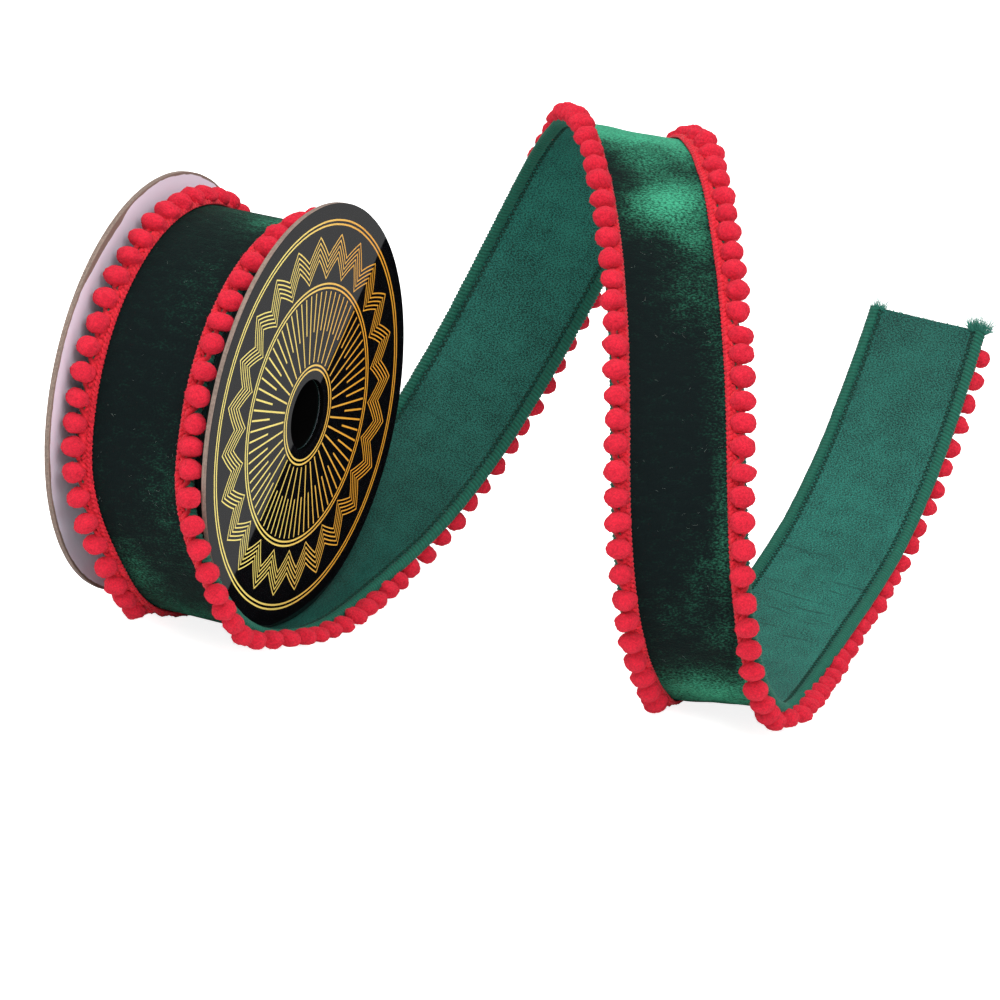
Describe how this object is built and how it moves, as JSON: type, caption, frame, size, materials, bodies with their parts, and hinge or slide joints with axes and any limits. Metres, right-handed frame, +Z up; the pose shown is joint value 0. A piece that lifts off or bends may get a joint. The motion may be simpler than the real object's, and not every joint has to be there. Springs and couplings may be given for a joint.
{
  "type": "roll of pompom trim",
  "caption": "Card spool of dark green velvet ribbon edged with red pompoms, its loose end pulled off below the front disc in one tall curl.",
  "frame": {"origin": "middle of the small flat on the back disc's rim, which the spool stands on", "axes": "+Z up, +X along the spool's axis from the back disc to the front disc but 2.7 degrees below it, -Y towards the side where the ribbon leaves the roll"},
  "size_m": [0.2714, 0.3226, 0.2006],
  "materials": {
    "card_lining": "matt lilac-white lining on grey board",
    "gloss_print": "gloss black print with fine gold lines",
    "velvet": "cut pile with a satin back",
    "pompom_trim": "gimp braid and felted pompoms"
  },
  "bodies": {
    "root": {"back_disc": "card_lining", "front_disc": "gloss_print", "ribbon_roll": "velvet", "ribbon_tail": "velvet", "roll_trim_near": "pompom_trim", "roll_trim_far": "pompom_trim", "tail_trim_near_drop": "pompom_trim", "tail_trim_near_floor": "pompom_trim", "tail_trim_near_curl": "pompom_trim", "tail_trim_near_dip": "pompom_trim", "tail_trim_near_end": "pompom_trim", "tail_trim_far_drop": "pompom_trim", "tail_trim_far_floor": "pompom_trim", "tail_trim_far_curl": "pompom_trim", "tail_trim_far_dip": "pompom_trim", "tail_trim_far_end": "pompom_trim"}
  },
  "joints": []
}
